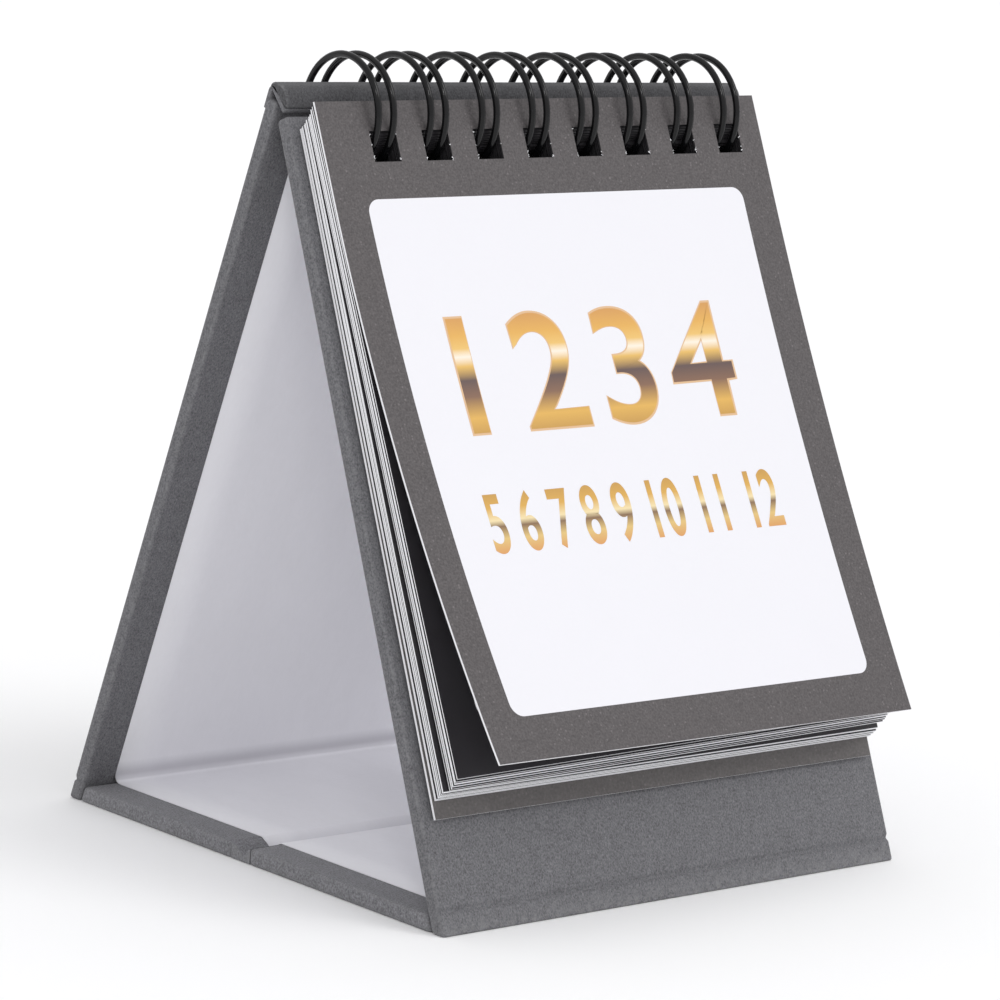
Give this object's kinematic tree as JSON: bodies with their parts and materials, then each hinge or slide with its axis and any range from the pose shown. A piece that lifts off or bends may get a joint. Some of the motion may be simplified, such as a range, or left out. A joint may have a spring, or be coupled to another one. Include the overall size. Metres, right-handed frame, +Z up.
{
  "type": "desk calendar",
  "caption": "Small easel desk calendar: paper-covered folding board stand with a black twin-loop wire holding a bowed cover card, month leaves and a back card.",
  "frame": {"origin": "on the surface that the stand rests on, under the middle of the part's bounding box", "axes": "+Z up, -Y the way the leaves face, +X across the stand"},
  "size_m": [0.078, 0.0832, 0.1034],
  "materials": {
    "covering_paper": "matt, fine woven grain",
    "greyboard": "raw board",
    "lining_paper": "matt uncoated paper",
    "leaf_paper": "smooth uncoated paper",
    "dark_card": "matt card",
    "cover_card": "matt printed card",
    "black_wire": "glossy black coating"
  },
  "bodies": {
    "front": {"front_wrap": "covering_paper", "front_board": "greyboard", "front_liner": "lining_paper", "wire_binding": "black_wire"},
    "back": {"back_wrap": "covering_paper", "back_board": "greyboard", "back_liner": "lining_paper"},
    "base_front": {"base_front_wrap": "covering_paper", "base_front_board": "greyboard", "base_front_liner": "lining_paper", "base_crease": "covering_paper"},
    "base_rear": {"base_rear_wrap": "covering_paper", "base_rear_board": "greyboard", "base_rear_liner": "lining_paper"},
    "leaves_rear": {"back_card": "dark_card", "month_leaf_07": "leaf_paper", "month_leaf_08": "leaf_paper", "month_leaf_09": "leaf_paper", "month_leaf_10": "leaf_paper", "month_leaf_11": "leaf_paper", "month_leaf_12": "leaf_paper"},
    "leaves_front": {"month_leaf_01": "leaf_paper", "month_leaf_02": "leaf_paper", "month_leaf_03": "leaf_paper", "month_leaf_04": "leaf_paper", "month_leaf_05": "leaf_paper", "month_leaf_06": "leaf_paper"},
    "cover": {"cover_sheet": "cover_card"}
  },
  "joints": [
    {"name": "stand_fold", "type": "hinge", "parent": "front", "child": "back", "pos_m": [0, 0.00165, 0.09602], "axis": [-1, 0, 0], "range_deg": [0, 7]},
    {"name": "base_front_fold", "type": "hinge", "parent": "front", "child": "base_front", "pos_m": [0, -0.03399, 0.0022], "axis": [1, 0, 0], "range_deg": [0, 38], "deforming": ["base_crease"]},
    {"name": "base_rear_fold", "type": "hinge", "parent": "back", "child": "base_rear", "pos_m": [0, 0.03859, 0.0022], "axis": [-1, 0, 0], "range_deg": [0, 31]},
    {"name": "rear_leaves_lift", "type": "hinge", "parent": "front", "child": "leaves_rear", "pos_m": [0, 0.0032, 0.09559], "axis": [-1, 0, 0], "range_deg": [0, 15]},
    {"name": "front_leaves_lift", "type": "hinge", "parent": "leaves_rear", "child": "leaves_front", "pos_m": [0, 0.0032, 0.09559], "axis": [-1, 0, 0], "range_deg": [0, 25]},
    {"name": "cover_flip", "type": "hinge", "parent": "leaves_front", "child": "cover", "pos_m": [0, 0.0032, 0.09559], "axis": [-1, 0, 0], "range_deg": [0, 110]}
  ],
  "couplings": [
    {"joint": "base_front_fold", "follows": "stand_fold", "ratio": 5.33},
    {"joint": "base_rear_fold", "follows": "stand_fold", "ratio": 4.33}
  ]
}
